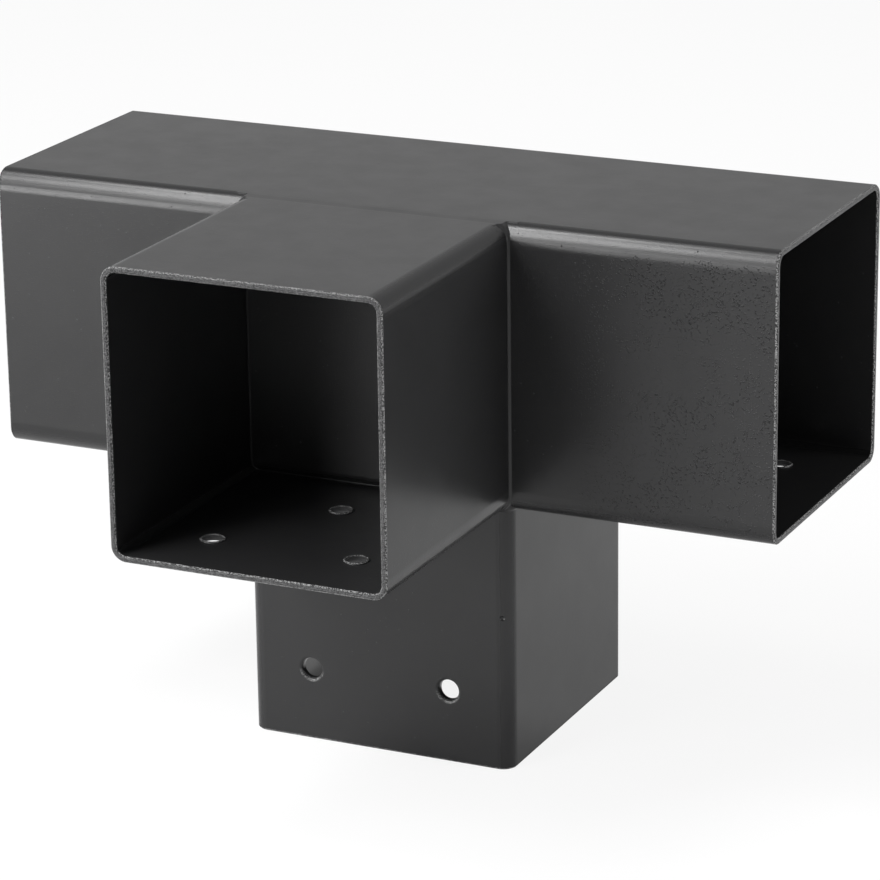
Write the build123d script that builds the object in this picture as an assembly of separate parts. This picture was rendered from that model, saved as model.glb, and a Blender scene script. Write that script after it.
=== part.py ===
from build123d import *
import os
from math import sqrt

# A welded connector for square timber posts.
# A straight run of square tube carries a branch tube on its front and a leg tube underneath.
# The part stands on the open end of the leg, and its origin is the centre of that end.
# X lies along the run, the branch points towards -Y and the leg points down.

# Square tube, the same for all three pieces
bore = 91.0
wall = 2.0
corner_radius = 5.0
tube = bore + 2 * wall
half = tube / 2

# Depth of each socket, from the mouth to the face of the tube that closes or crosses it
run_socket_depth = 90.0
branch_socket_depth = 90.0
leg_socket_depth = 90.0
run_length = tube + 2 * run_socket_depth
centre_height = leg_socket_depth + half

# Deburred edges at each mouth
mouth_chamfer = 0.5

# Screw holes: a pair near each mouth and one further in, on one wall of the socket
hole_radius = 3.5
pair_spacing = 50.0
pair_from_mouth = 25.0
single_from_mouth = 65.0

# Punched edges: the rolled-in edge outside and the raised lip inside
rolled_edge = 1.0
lip_width = 0.9
lip_height = 0.5

# Weld: bevel on the foot of each arm, leg of the corner bead, depth it is ground below the faces,
# and the gap at the run's rounded edges where the filling starts
foot_bevel = 0.5
bead_leg = 0.7
ground_depth = 0.1
root_gap = 0.1

# Directions that the mouths and the drilled walls face
left = Vector(-1, 0, 0)
right = Vector(1, 0, 0)
front = Vector(0, -1, 0)
down = Vector(0, 0, -1)

# Planes that the tubes start from, with the normal along the tube
run_start = Plane(origin=(-run_length / 2, 0, centre_height), x_dir=(0, 1, 0), z_dir=right)
branch_start = Plane(origin=(0, -half, centre_height), x_dir=right, z_dir=front)
leg_start = Plane(origin=(0, 0, leg_socket_depth), x_dir=right, z_dir=down)

# Plane through the corner that branch and leg share, where their two welds meet in a mitre
mitre = Plane(origin=(0, -half, leg_socket_depth), x_dir=right, z_dir=(0, -1, 1))


def square(growth=0.0):
    """Outside section of the tube, grown by the same amount on every side."""
    return RectangleRounded(tube + 2 * growth, tube + 2 * growth, corner_radius + growth)


def inside_square():
    """Open section inside the tube."""
    return RectangleRounded(bore, bore, corner_radius - wall)


def run_form():
    """Outside form of the run, filled in."""
    return extrude(run_start * square(), run_length)


def arm_form(start, depth):
    """Outside form of an arm, filled in, with its foot bevelled for the weld."""
    form = extrude(start * square(), depth)
    foot = form.faces().sort_by(Axis(start.origin, start.z_dir))[0]
    return chamfer(foot.edges(), foot_bevel)


def hole_planes(mouth, outward, side):
    """Planes at a socket's three holes, on the outside of the wall that faces side."""
    inward = -outward
    across = outward.cross(side)
    edge = mouth + side * half
    pair = edge + inward * pair_from_mouth
    centres = [
        pair - across * (pair_spacing / 2),
        pair + across * (pair_spacing / 2),
        edge + inward * single_from_mouth,
    ]
    return [Plane(origin=centre, x_dir=across, z_dir=side) for centre in centres]


def turned(plane, outline):
    """Solid of revolution on a plane's normal, from (radius, height) points."""
    return plane * revolve(make_face(Plane.XZ * Polyline(*outline, close=True)), Axis.Z)


def raised_lip(plane):
    """Low collar that the punch pushes up on the inside of the wall."""
    crest = -wall - lip_height
    return turned(
        plane,
        [(0, -wall), (hole_radius + lip_width, -wall), (hole_radius + lip_width / 3, crest), (0, crest)],
    )


def punch(plane):
    """Tool that leaves a hole with a rolled-in edge on the outside of the wall."""
    shoulder = rolled_edge * (1 - sqrt(0.5))
    return turned(
        plane,
        [
            (0, -2 * wall),
            (hole_radius, -2 * wall),
            (hole_radius, -rolled_edge),
            (hole_radius + shoulder, -shoulder),
            (hole_radius + rolled_edge, 0),
            (hole_radius + rolled_edge, wall),
            (0, wall),
        ],
    )


def punch_socket(body, mouth, outward, side):
    """Punch the three screw holes of one socket."""
    for plane in hole_planes(mouth, outward, side):
        body = body + raised_lip(plane) - punch(plane)
    return body


def deburr_mouth(body, outward):
    """Break both edges of a tube's open end."""
    end = body.faces().sort_by(Axis((0, 0, 0), outward))[-1]
    return chamfer(end.edges(), mouth_chamfer)


def run_piece():
    """Through tube with a socket at each end, drilled from below."""
    body = run_form() - extrude(run_start * inside_square(), run_length)
    for outward in (left, right):
        mouth = Vector(0, 0, centre_height) + outward * (run_length / 2)
        body = punch_socket(body, mouth, outward, down)
        body = deburr_mouth(body, outward)
    return body


def arm_piece(start, depth, side):
    """Socket tube that stands on the run, drilled through the wall that faces side."""
    outward = start.z_dir
    body = arm_form(start, depth) - extrude(start * inside_square(), depth)
    body = punch_socket(body, start.origin + outward * depth, outward, side)
    return deburr_mouth(body, outward)


def weld_around(start):
    """Bead round the foot of an arm, and the metal that fills the run's rounded edges beside it."""
    bead = extrude(start * square(bead_leg), bead_leg, taper=45)
    filling = extrude(start * (square(bead_leg) - inside_square()), -corner_radius)
    flat = half - corner_radius + sqrt(2 * corner_radius * root_gap - root_gap**2)
    beside = start * Box(2 * tube, tube, 2 * corner_radius) - start * Box(2 * tube, 2 * flat, 2 * corner_radius)
    return bead + (filling & beside)


def weld_piece(start, keep):
    """Weld metal of one arm, ground flush on the top and at the back, up to the mitre."""
    metal = weld_around(start) - run_form()
    metal = metal - arm_form(branch_start, branch_socket_depth) - arm_form(leg_start, leg_socket_depth)
    for other in (branch_start, leg_start):
        metal -= extrude(other * inside_square(), -corner_radius)
    corner = Pos(0, half - ground_depth, centre_height + half - ground_depth)
    metal &= corner * Box(2 * tube, 2 * tube, 2 * tube, align=(Align.CENTER, Align.MAX, Align.MAX))
    return split(metal, bisect_by=mitre, keep=keep)


os.makedirs("parts", exist_ok=True)
pieces = {
    "run_tube": run_piece(),
    "branch_tube": arm_piece(branch_start, branch_socket_depth, down),
    "leg_tube": arm_piece(leg_start, leg_socket_depth, front),
    "branch_weld": weld_piece(branch_start, Keep.TOP),
    "leg_weld": weld_piece(leg_start, Keep.BOTTOM),
}
for name, piece in pieces.items():
    export_step(piece, f"parts/{name}.step")
    print(name, len(piece.solids()), "solid", round(piece.volume / 1000, 2), "cm3")
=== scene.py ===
# %% [markdown]
# # A welded connector for square posts
#
# This notebook dresses a small steel fitting for its portrait. Three lengths of square tube are
# welded together: a run that lies across, a branch that points at us and a leg underneath. The
# whole piece then got one coat of black powder paint, and that coat is nearly all we see.
#
# The construction model arrives as fixed pieces, so the tubes are never moved or resized here.
# We work on three things: the paint, the weld metal and the light that makes black paint readable.

# %% Load the frame and note its box
from math import cos, pi, radians, sin, tan

import bpy
from mathutils import Matrix, Vector


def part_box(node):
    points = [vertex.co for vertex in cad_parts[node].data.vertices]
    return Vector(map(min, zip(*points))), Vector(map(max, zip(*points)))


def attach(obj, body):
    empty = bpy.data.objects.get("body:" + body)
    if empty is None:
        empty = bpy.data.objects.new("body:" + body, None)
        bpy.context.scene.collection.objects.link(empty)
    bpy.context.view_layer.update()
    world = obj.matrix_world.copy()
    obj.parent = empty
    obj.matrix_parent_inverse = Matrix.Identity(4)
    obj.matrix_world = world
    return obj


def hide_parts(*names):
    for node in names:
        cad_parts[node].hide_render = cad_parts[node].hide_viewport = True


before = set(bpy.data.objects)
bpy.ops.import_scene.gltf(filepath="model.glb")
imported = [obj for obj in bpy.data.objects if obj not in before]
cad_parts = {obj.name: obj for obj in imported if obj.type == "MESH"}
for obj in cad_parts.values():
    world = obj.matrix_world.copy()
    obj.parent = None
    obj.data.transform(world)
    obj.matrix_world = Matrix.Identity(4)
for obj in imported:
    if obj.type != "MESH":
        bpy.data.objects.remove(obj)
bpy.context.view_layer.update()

print("pieces in the frame:", sorted(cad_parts))

# %% [markdown]
# ## Sizes that the looks need
#
# A finish that changes near a mouth or a corner has to know where that mouth is. We read those
# places from the boxes of the tubes instead of typing them again, so the paint follows the metal.

# %% Where the three tubes are
mm = 0.001
run_low, run_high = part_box("run_tube")
branch_low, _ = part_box("branch_tube")
leg_low, leg_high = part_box("leg_tube")
half = run_high.y
centre_height = (run_low.z + run_high.z) / 2
print("tube", round(2 * half / mm, 1), "mm square, run", round(2 * run_high.x / mm, 1), "mm long")

# %% [markdown]
# ## The camera
#
# The photograph was taken from the right and from above with a long lens, so edges that run away
# from us stay almost parallel. The camera is placed by its turn, its tilt and its place. The small
# roll is real too: the photograph is a little off level.

# %% A camera at the photograph's angle
image_size = 880
focal_pixels = 3921.6
camera_yaw = radians(25.255)
camera_pitch = radians(18.184)
camera_roll = radians(-0.772)
camera_place = Vector((532.87, -1127.71, 503.43)) * mm
film_width = 36
nearest_seen = 0.05
farthest_seen = 20

camera_data = bpy.data.cameras.new("camera")
camera_data.sensor_width = film_width
camera_data.lens = film_width * focal_pixels / image_size
camera_data.clip_start = nearest_seen
camera_data.clip_end = farthest_seen
camera = bpy.data.objects.new("camera", camera_data)
bpy.context.scene.collection.objects.link(camera)
turn = Matrix.Rotation(camera_yaw, 4, "Z") @ Matrix.Rotation(pi / 2 - camera_pitch, 4, "X")
camera.matrix_world = Matrix.Translation(camera_place) @ turn @ Matrix.Rotation(camera_roll, 4, "Z")
bpy.context.scene.camera = camera
print("lens", round(camera_data.lens, 1), "mm")

# %% [markdown]
# ## Writing shader maths as sums
#
# A shader is a sum written with boxes and wires, which is slow to read. The small class below
# wraps one output socket, so that `mask * 0.5 + 1` adds its own Math nodes. Everything that is
# not plain arithmetic comes from one method, `Shader.node`, which takes the node's type, its
# settings and the values or links of its sockets.

# %% A socket that can be added and multiplied
class Value:
    """An output socket that can be used in sums."""

    def __init__(self, shader, socket):
        self.shader = shader
        self.socket = socket

    def math(self, operation, *others):
        return self.shader.node("ShaderNodeMath", {"operation": operation}, self, *others)

    def __add__(self, other):
        return self.math("ADD", other)

    __radd__ = __add__

    def __sub__(self, other):
        return self.math("SUBTRACT", other)

    def __rsub__(self, other):
        return self.shader.node("ShaderNodeMath", {"operation": "SUBTRACT"}, other, self)

    def __mul__(self, other):
        return self.math("MULTIPLY", other)

    __rmul__ = __mul__

    def __truediv__(self, other):
        return self.math("DIVIDE", other)

    def __abs__(self):
        return self.math("ABSOLUTE")

    def least(self, other):
        return self.math("MINIMUM", other)

    def most(self, other):
        return self.math("MAXIMUM", other)

    def rise(self, start, end, low=0.0, high=1.0):
        """A smooth step from low at start to high at end."""
        settings = {"interpolation_type": "SMOOTHSTEP"}
        return self.shader.node("ShaderNodeMapRange", settings, self, start, end, low, high)

    def fall(self, start, end):
        """A smooth step from 1 at start to 0 at end."""
        return self.rise(start, end, 1.0, 0.0)


# %% One place that makes every node
class Shader:
    """The nodes of one material or world."""

    def __init__(self, owner):
        owner.use_nodes = True
        self.tree = owner.node_tree
        self.tree.nodes.clear()

    def node(self, kind, settings=None, *inputs, output=0, **named):
        made = self.tree.nodes.new(kind)
        for key, setting in (settings or {}).items():
            setattr(made, key, setting)
        sockets = [s for s in made.inputs if s.enabled]
        for socket, given in zip(sockets, inputs):
            self.join(given, socket)
        for key, given in named.items():
            self.join(given, made.inputs[key.replace("_", " ")])
        return Value(self, made.outputs[output]) if made.outputs else made

    def join(self, given, socket):
        if isinstance(given, Value):
            self.tree.links.new(given.socket, socket)
        elif given is not None:
            socket.default_value = given

    def place(self):
        """Where a point lies on the object, from the output of Texture Coordinate for that."""
        return self.node("ShaderNodeTexCoord", None, output=3)

    def axes(self, vector):
        """The three numbers of a vector."""
        split = self.node("ShaderNodeSeparateXYZ", None, vector).socket.node
        return [Value(self, socket) for socket in split.outputs]

    def ray(self, *kinds):
        """1 for the named kinds of ray, 0 for the others."""
        path = self.tree.nodes.new("ShaderNodeLightPath")
        seen = Value(self, path.outputs[f"Is {kinds[0]} Ray"])
        for kind in kinds[1:]:
            seen = seen.most(Value(self, path.outputs[f"Is {kind} Ray"]))
        return seen


print("shader helper ready")

# %% [markdown]
# ## The floor
#
# The fitting stands on a plain white table. What a camera sees of it has to be white, yet the
# table has to keep the soft shadow that shows where the leg touches it. So the floor is a pale
# matt surface for every ray that carries light. Camera rays get mostly plain white. Mirror and
# glass rays get only some of it in front, so the paint still mirrors the shaded floor under the
# branch, and more of it behind, where the open table is lit evenly.

# %% A large plain table
white = (1, 1, 1, 1)
floor_size = 6.0
floor_colour = (0.8, 0.8, 0.8, 1)
white_seen = 0.87
white_mirrored = 0.15
back_mirrored = 0.6
back_width = 60 * mm

bpy.ops.object.select_all(action="DESELECT")
bpy.ops.mesh.primitive_plane_add(size=floor_size, location=(0, 0, 0))
floor = bpy.context.object
floor.name = "floor"
print("floor", floor_size, "m across")

# %% White paper that keeps its shadow
paper = bpy.data.materials.new("white_paper")
shader = Shader(paper)
matt = shader.node("ShaderNodeBsdfDiffuse", None, floor_colour)
plain = shader.node("ShaderNodeEmission", None, white, 1.0)
x, y, z = shader.axes(shader.place())
mirrored = (y + half).rise(0, back_width, white_mirrored, back_mirrored)
share = shader.ray("Camera") * white_seen + shader.ray("Glossy", "Transmission") * mirrored
mixed = shader.node("ShaderNodeMixShader", None, share.least(white_seen), matt, plain)
shader.node("ShaderNodeOutputMaterial", None, mixed)
floor.data.materials.append(paper)
print("paper mirrored at", white_mirrored, "in front and", back_mirrored, "behind")

# %% [markdown]
# ## The room around it
#
# Paint this dark shows mostly what it mirrors. The room is white at the horizon, where the flat
# top mirrors it, and turns to a quiet grey ceiling overhead. That step is what draws the thin
# dark line beside the bright rounded edge. Rays that only carry light get an even grey instead.

# %% White walls and a grey ceiling
room_fill = 0.3
ceiling_grey = 0.5
wall_top = 0.05
ceiling_start = 0.3

world = bpy.data.worlds.new("room")
bpy.context.scene.world = world
shader = Shader(world)
height = shader.axes(shader.node("ShaderNodeTexCoord", None))[2]
wall = height.rise(wall_top, ceiling_start, 1.0, ceiling_grey)
seen = shader.ray("Camera", "Glossy", "Transmission")
background = shader.node("ShaderNodeBackground", None, white, seen * wall + (1 - seen) * room_fill)
shader.node("ShaderNodeOutputWorld", None, background)
print("room fill", room_fill, "ceiling", ceiling_grey)

# %% [markdown]
# ## The lamps
#
# Seven soft panels stand round the fitting, and each does one job. A panel is described by the way
# one would point at it from the fitting: the azimuth is 0 in front and 90 at the right, and the two
# elevations are the angles of its lower and upper edge. A radiance of 1 is as bright as paper.
#
# - The bright low panel skims along the front of the run. The branch throws the rest of that face
#   into shade, and this is why the paint looks so deep beside the branch.
# - The front panel reaches into the mouth of the branch.
# - The tall strip, the high strip and the high panel join up in the mirror of the run's rounded
#   edge, because such an edge mirrors a long arc of the room. Together they draw its bright band.
# - The side panel opens the shade on the branch and the leg, and the top panel lights the table.
#
# One small lamp lies on the table inside the leg and faces up. It stands for the light that the
# white table throws up into the open tube, which shows grey through the left screw hole.

# %% Seven soft panels
lamp_distance = 1.8
lamp_aim = Vector((0, 0, centre_height))


def hang(name, lamp, place, turned):
    """Put a lamp in the scene, where the camera doesn't see it."""
    holder = bpy.data.objects.new(name, lamp)
    bpy.context.scene.collection.objects.link(holder)
    holder.location = place
    holder.rotation_euler = turned
    holder.visible_camera = False


def soft_panel(name, azimuth, low, high, wide, radiance):
    """A rectangular lamp of an even brightness, given in degrees as seen from the fitting."""
    middle = radians((low + high) / 2)
    turned = radians(azimuth)
    towards = Vector((sin(turned) * cos(middle), -cos(turned) * cos(middle), sin(middle)))
    lamp = bpy.data.lights.new(name, "AREA")
    lamp.shape = "RECTANGLE"
    lamp.size = 2 * lamp_distance * tan(radians(wide / 2)) * cos(middle)
    lamp.size_y = 2 * lamp_distance * tan(radians((high - low) / 2))
    lamp.energy = radiance * pi * lamp.size * lamp.size_y
    turned_to_aim = (-towards).to_track_quat("-Z", "Y").to_euler()
    hang(name, lamp, lamp_aim + towards * lamp_distance, turned_to_aim)


soft_panel("low_panel", -37, -3, 10, 14, 26)
soft_panel("front_panel", -21, 6, 27, 12, 12)
soft_panel("tall_strip", -32, 25, 43, 16, 11)
soft_panel("high_strip", -39, 41, 58, 30, 17)
soft_panel("high_panel", -60, 56, 68, 30, 20)
soft_panel("side_panel", 103, 0, 20, 28, 14)
soft_panel("top_panel", -75, 56, 80, 50, 3.5)
print("panels", len(bpy.data.lights))

# %% The glow of the table inside the leg
glow_width = 80 * mm
glow_height = 2 * mm
glow_radiance = 0.8

glow = bpy.data.lights.new("table_glow", "AREA")
glow.shape = "SQUARE"
glow.size = glow_width
glow.energy = glow_radiance * pi * glow_width**2
hang("table_glow", glow, (0, 0, glow_height), (pi, 0, 0))

# %% [markdown]
# ## The weld metal
#
# On the real fitting each arm sits on the run with its foot bevelled, and molten metal fills the
# corner. After that the seam is ground and painted, so in the photograph no bead stands out: the
# tubes flow into each other through a small hollow round, and on the top the seam disappears.
#
# The construction model has that metal as a plain chamfer. We make its true surface the way the
# torch does, by melting. Copies of the metal round the seams are cut out, joined and turned into
# one skin of tiny cells, and a few rounds of smoothing draw the inner corners hollow. At the end
# the skin is drawn in by a hair, so that it lies just under the flat faces of the tubes and shows
# only in the corners, and it is pressed flat on the top and at the back, where it was ground.

# %% Select, apply and cut


def select_only(*objects):
    bpy.ops.object.select_all(action="DESELECT")
    for one in objects:
        one.select_set(True)
    bpy.context.view_layer.objects.active = objects[0]


def apply_modifier(obj, kind, **settings):
    select_only(obj)
    modifier = obj.modifiers.new(kind.lower(), kind)
    for key, setting in settings.items():
        setattr(modifier, key, setting)
    bpy.ops.object.modifier_apply(modifier=modifier.name)


def block(name, low, high):
    """A plain block between two corners, used only as a cutting tool."""
    low, high = Vector(low), Vector(high)
    bpy.ops.object.select_all(action="DESELECT")
    bpy.ops.mesh.primitive_cube_add(size=1, location=(low + high) / 2, scale=high - low)
    bpy.context.object.name = name
    return bpy.context.object


print("cutting tools ready")

# %% Cutting frames round the two seams
seam_reach = 2.5 * mm
seam_depth = 6 * mm
inside_wall = 3 * mm


def cutting_frame(name, low, high, hole_low, hole_high):
    """A square frame: a block with a window through it."""
    frame_block = block(name, low, high)
    window = block("window", hole_low, hole_high)
    apply_modifier(frame_block, "BOOLEAN", operation="DIFFERENCE", solver="EXACT", object=window)
    bpy.data.objects.remove(window)
    return frame_block


outer = half + seam_reach
inner = half - inside_wall
branch_frame = cutting_frame(
    "branch_frame",
    (-outer, -outer, centre_height - outer), (outer, -half + seam_depth, centre_height + outer),
    (-inner, -outer - mm, centre_height - inner), (inner, 0, centre_height + inner),
)
leg_frame = cutting_frame(
    "leg_frame",
    (-outer, -outer, leg_high.z - seam_reach), (outer, outer, leg_high.z + seam_depth),
    (-inner, -inner, 0), (inner, inner, centre_height),
)
print("cutting frames reach", round(seam_reach / mm, 1), "mm from the seams")

# %% Metal round the seams, joined and melted
cell = 0.3 * mm
melting_pull = 0.5
melting_rounds = 4
kept_share = 0.3
same_place = 0.001 * mm
joined_pieces = ("run_tube", "branch_tube", "leg_tube", "branch_weld", "leg_weld")


def metal_within(name, cutter):
    """The part of a fixed piece that lies in a cutting frame."""
    copy = bpy.data.objects.new(name + "_cut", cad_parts[name].data.copy())
    bpy.context.scene.collection.objects.link(copy)
    select_only(copy)
    bpy.ops.object.mode_set(mode="EDIT")
    bpy.ops.mesh.select_all(action="SELECT")
    bpy.ops.mesh.remove_doubles(threshold=same_place)
    bpy.ops.object.mode_set(mode="OBJECT")
    apply_modifier(copy, "BOOLEAN", operation="INTERSECT", solver="EXACT", object=cutter)
    return copy


seam_frames = (branch_frame, leg_frame)
cuts = [metal_within(name, cutter) for cutter in seam_frames for name in joined_pieces]
for cutter in seam_frames:
    bpy.data.objects.remove(cutter)
select_only(*cuts)
bpy.ops.object.join()
weld_metal = bpy.context.object
weld_metal.name = "weld_metal"
apply_modifier(weld_metal, "REMESH", mode="VOXEL", voxel_size=cell, adaptivity=0.0)
apply_modifier(weld_metal, "SMOOTH", factor=melting_pull, iterations=melting_rounds)
apply_modifier(weld_metal, "DECIMATE", ratio=kept_share)
print("weld metal", len(weld_metal.data.polygons), "faces")

# %% Ground flush on the top and at the back
drawn_in = 0.03 * mm
ground = 0.3 * mm
below_face = 0.01 * mm


def select_beyond(obj, axis, limit):
    """Select the vertices that lie beyond a limit on one axis."""
    bpy.ops.object.mode_set(mode="OBJECT")
    for vertex in obj.data.vertices:
        vertex.select = vertex.co[axis] > limit
    for edge in obj.data.edges:
        edge.select = all(obj.data.vertices[i].select for i in edge.vertices)
    for face in obj.data.polygons:
        face.select = all(obj.data.vertices[i].select for i in face.vertices)
    bpy.ops.object.mode_set(mode="EDIT")


faces = ((2, run_high.z), (1, run_high.y))
select_only(weld_metal)
bpy.ops.object.mode_set(mode="EDIT")
bpy.ops.mesh.select_mode(type="VERT")
bpy.ops.mesh.select_all(action="SELECT")
bpy.ops.transform.shrink_fatten(value=-drawn_in)
for axis, top in faces:
    flush = top - below_face
    centre, keep = Vector((0, 0, 0)), Vector((1, 1, 1))
    centre[axis], keep[axis] = flush, 0
    select_beyond(weld_metal, axis, top - ground)
    bpy.ops.transform.resize(value=keep, center_override=centre)
bpy.ops.object.mode_set(mode="OBJECT")
bpy.ops.object.shade_smooth()
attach(weld_metal, "root")
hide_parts("branch_weld", "leg_weld")
print("weld metal is", round(weld_metal.dimensions.x / mm, 1), "mm wide")

# %% [markdown]
# ## Powder paint
#
# Powder paint is sprayed on dry and melted into a skin. The skin is a deep black, satin rather
# than glossy, and never quite flat. The bare colour is very dark, so nearly all we see is gloss.
#
# Four things make it look like real paint instead of black plastic. On the bends of the tube the
# skin was pulled tight and is a little glossier. The flats are slightly crowned beside the bends,
# by a bump, because the bright band in the photograph is wider than the bend itself. On the sawn
# rims and on the lips of the punched holes the paint is thin and rough, with lighter specks that
# are partly thin paint and partly painted highlight. And on the right front of the run it is full
# of fine dots, which are a bump, not a drawing: they gather in clumps and fade towards the weld
# and the bends.
#
# Besides these, highlights are painted into the colour in a lighter grey: specks along the edges
# of the rims, which are partly worn paint and partly painted highlight, painted glints on the lips
# of the holes in the floors, and a painted lit crescent on the lower rolled edge of each leg hole.

# %% Mouths, bends and outer faces
bend_start = half - 4.5 * mm
bend_end = half - 3 * mm
arm_start = half + 0.1 * mm
arm_end = half + 0.3 * mm
branch_foot = 0.2 * mm, 0.4 * mm
inner_face = half - 1.9 * mm
outer_face = half - 1.6 * mm


def mouth_depth(x, y, z):
    """How far a place lies behind the nearest mouth."""
    return (run_high.x - abs(x)).least(y - branch_low.y).least(z - leg_low.z)


def on_bends(x, y, z):
    """1 along the rounded edges of the three tubes and 0 on their flat faces."""
    beside, before, above = abs(x), abs(y), abs(z - centre_height)
    in_run = before.least(above).rise(bend_start, bend_end)
    in_run = in_run * before.most(above).fall(arm_start, arm_end)
    in_branch = beside.least(above).rise(bend_start, bend_end) * (0 - y).rise(arm_start, arm_end)
    below = centre_height - z
    in_leg = beside.least(before).rise(bend_start, bend_end) * below.rise(arm_start, arm_end)
    return in_run.most(in_branch).most(in_leg)


def on_outside(x, y, z):
    """1 on the outer faces of the run and the branch and 0 on their inner ones."""
    in_branch = (y + half).fall(*branch_foot)
    across = abs(x) * in_branch + abs(y) * (1 - in_branch)
    return across.most(abs(z - centre_height)).rise(inner_face, outer_face)


print("bends start", round((half - bend_start) / mm, 1), "mm from the faces")

# %% Screw holes
hole_radius = 3.5 * mm
pair_spacing = 50 * mm
pair_from_mouth = 25 * mm
single_from_mouth = 65 * mm
lip_reach = 1.25, 1.4
hole_reach = 1.02, 1.06
lip_foot = 2.15 * mm, 2.3 * mm
lip_crest = 2.6 * mm, 3 * mm
above_lip = 3 * mm, 4 * mm
below_wall = -0.2 * mm, 0
rolled_reach = 1.25, 1.35
lit_crescent = 2.5 * mm
leg_front = 0.8 * mm, mm


def hole_distance(mouth, across):
    """Distance to the nearest of a socket's three holes, in radii, from depth and offset."""
    far, beside = mouth - pair_from_mouth, abs(across) - pair_spacing / 2
    deep = mouth - single_from_mouth
    nearest = (far * far + beside * beside).least(deep * deep + across * across)
    return nearest.math("SQRT") / hole_radius


def in_floor_holes(x, y, z):
    """1 on the raised lips of the holes in the floors, and 1 on the walls of those holes."""
    in_run = hole_distance(run_high.x - abs(x), y)
    distance = in_run.least(hole_distance(y - branch_low.y, x))
    height = z - leg_high.z
    lips = distance.fall(*lip_reach) * height.rise(*lip_foot) * height.fall(*above_lip)
    walls = distance.fall(*hole_reach) * height.fall(*lip_crest) * height.rise(*below_wall)
    return lips, walls


def painted_crescent_on_leg_holes(x, y, z):
    """1 on the lower half of the rolled edges of the holes in the leg, where a lit crescent is
    painted, and 0 elsewhere.
    """
    ring = hole_distance(z - leg_low.z, x).fall(*rolled_reach)
    lower = (leg_low.z + pair_from_mouth - z).rise(0, lit_crescent)
    return ring * lower * (y + half).fall(*leg_front)


pair_depth, single_depth = round(pair_from_mouth / mm), round(single_from_mouth / mm)
print("screw holes are", pair_depth, "and", single_depth, "mm from a mouth")

# %% Dots in the paint
dot_spacing = 0.75 * mm
dot_edge = 0.1, 0.42
dot_chance = 0.2, 0.4
stray_chance = 0.99, 0.995
patch_size = 13 * mm
clump = 0.42, 0.56
calm_start = 18 * mm
calm_end = 50 * mm
run_front = 0.3 * mm, mm
below_top = 4 * mm, 8 * mm
between_clumps = 0.15
calm_share = 0.05
stray_share = 0.4


def patches(shader, place):
    """Soft patches, a little wider than a thumb's nail."""
    return shader.node(
        "ShaderNodeTexNoise", None, place, Scale=1 / patch_size, Detail=2.5, Roughness=0.65
    )


def dots_of_paint(shader, place, patch):
    """Round dots chosen by chance out of an even scatter, many on the run's right front."""
    x, y, z = shader.axes(place)
    scatter = shader.node("ShaderNodeTexVoronoi", None, place, Scale=1 / dot_spacing)
    chance = shader.axes(Value(shader, scatter.socket.node.outputs["Color"]))[0]
    dot = scatter.fall(*dot_edge)
    right_front = (x - half).rise(calm_start, calm_end) * (y + half).fall(*run_front)
    below_bend = (run_high.z - z).rise(*below_top)
    lively = right_front * below_bend * patch.rise(*clump, between_clumps, 1.0)
    share = lively * (1 - calm_share) + calm_share
    strays = dot * chance.rise(*stray_chance)
    return dot * chance.rise(*dot_chance) * share + strays * stray_share


print("dots every", round(dot_spacing / mm, 2), "mm")

# %% The height of the paint
dot_height = 0.3 * mm
speck_size = 0.4 * mm
speck_height = 1.2
nick_place = Vector((44.6, -47.3, 53)) * mm
nick_radius = 1.1 * mm
nick_depth = 2.0
crown_start = half - 7.5 * mm
crown_end = half - 1.5 * mm
crown_depth = 3.5
edge_softness = 0.3 * mm


def paint_normal(shader, place, grain, rough, outside):
    """The direction of the paint's surface, from heights in units of a dot."""
    z = shader.axes(place)[2]
    nick = shader.node(
        "ShaderNodeVectorMath", {"operation": "DISTANCE"}, place, nick_place, output=1
    )
    crown = abs(z - centre_height).rise(crown_start, crown_end) * outside
    height = grain + rough * speck_height
    height = height - nick.rise(0.2 * nick_radius, nick_radius, nick_depth, 0.0)
    height = height - crown * crown_depth
    edge = shader.node("ShaderNodeBevel", {"samples": 4}, Radius=edge_softness)
    return shader.node(
        "ShaderNodeBump", None, Strength=1.0, Distance=dot_height, Height=height, Normal=edge
    )


print("a dot is", round(dot_height / mm, 2), "mm high")

# %% One coat of powder
paint_black = (0.015, 0.015, 0.0155, 1)
# A grey for specks on the rims and on the lips of the floor holes: partly real thin paint, partly
# painted highlight.
thin_paint_and_highlight = (0.06, 0.06, 0.061, 1)
# A lighter grey for painted highlights: specks on the rim edges, which are partly worn paint,
# painted glints on the lips of the floor holes and a painted lit crescent on the leg holes.
worn_edge_and_highlight = (0.2, 0.2, 0.2, 1)
rim_depth = 0.6 * mm
rim_softness = 0.2 * mm
rim_edge = 0.05 * mm, 0.15 * mm
satin_low = 0.28
satin_high = 0.33
thin_dulling = 0.15
hole_dulling = 0.4
crescent_share = 0.5
thin_paint_and_highlight_specks = 0.35, 0.6
worn_edge_and_highlight_specks = 0.45, 0.62
shine = 0.3


def mixed_colour(shader, share, first, second):
    return shader.node("ShaderNodeMix", {"data_type": "RGBA"}, share, first, second, output=2)


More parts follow.
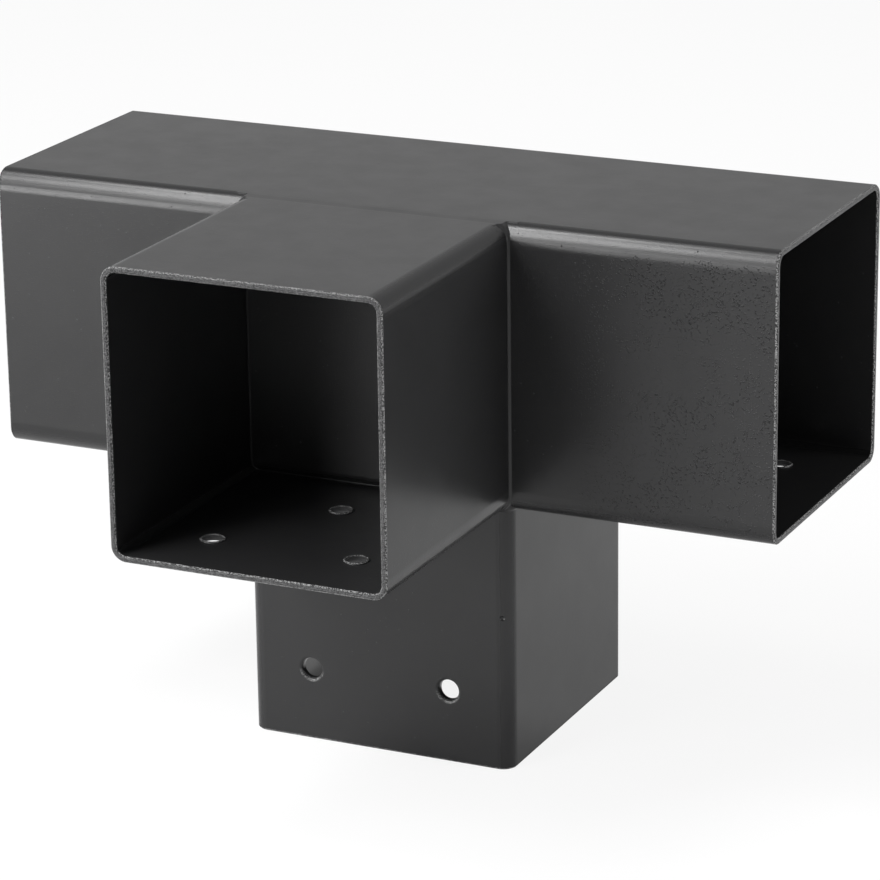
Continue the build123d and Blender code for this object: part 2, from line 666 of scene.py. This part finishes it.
def powder_coat(name, liveliness, bend_gloss, inside_dulling):
    """Black powder paint, whose dots are as high as the liveliness says."""
    shader = Shader(bpy.data.materials.new(name))
    place = shader.place()
    x, y, z = shader.axes(place)
    depth = mouth_depth(x, y, z)
    lips, walls = in_floor_holes(x, y, z)
    raw = depth.fall(rim_depth, rim_depth + rim_softness).most(lips)
    # Where highlights are painted: the edges of the rims (partly worn paint), the lips of the floor
    # holes and, at half strength, the lower crescent of each leg hole.
    worn_edge_and_highlight_mask = (depth.rise(*rim_edge) * raw).most(painted_crescent_on_leg_holes(x, y, z) * crescent_share)
    painted = 1 - raw
    outside = on_outside(x, y, z)
    speck = shader.node("ShaderNodeTexNoise", None, place, Scale=1 / speck_size, Detail=0.0)
    patch = patches(shader, place)
    grain = dots_of_paint(shader, place, patch) * painted * liveliness
    normal = paint_normal(shader, place, grain, speck * raw, outside * painted)
    satin = patch.rise(0.2, 0.8, satin_low, satin_high) - on_bends(x, y, z) * painted * bend_gloss
    satin = satin + raw * thin_dulling + walls * hole_dulling + (1 - outside) * inside_dulling
    # Lighter specks on the rims and lips: partly thin paint, partly painted highlight.
    colour = mixed_colour(shader, raw * speck.rise(*thin_paint_and_highlight_specks), paint_black, thin_paint_and_highlight)
    # Painted highlights in a lighter grey on the rim edges, the hole lips and the leg holes' lower
    # crescents.
    colour = mixed_colour(shader, worn_edge_and_highlight_mask * speck.rise(*worn_edge_and_highlight_specks), colour, worn_edge_and_highlight)
    coat = shader.node(
        "ShaderNodeBsdfPrincipled", None,
        Base_Color=colour, Roughness=satin, Normal=normal, Specular_IOR_Level=shine,
    )
    shader.node("ShaderNodeOutputMaterial", None, coat)
    return bpy.data.materials[name]


tube_coat = powder_coat("black_powder_coat", 1.0, 0.07, 0.0)
weld_coat = powder_coat("black_coat_over_weld", 0.3, -0.05, 0.35)
print("coats", tube_coat.name, "and", weld_coat.name)

# %% Every piece gets its coat
coats = {
    "run_tube": tube_coat,
    "branch_tube": tube_coat,
    "leg_tube": tube_coat,
    "branch_weld": weld_coat,
    "leg_weld": weld_coat,
}
for name, coat in coats.items():
    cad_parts[name].data.materials[0] = coat
weld_metal.data.materials.clear()
weld_metal.data.materials.append(weld_coat)
print("coated", len(coats) + 1, "pieces")

# %% [markdown]
# ## Closing
#
# The picture keeps colours as they are written.

# %% Keep the colours as written
bpy.context.scene.view_settings.view_transform = "Standard"
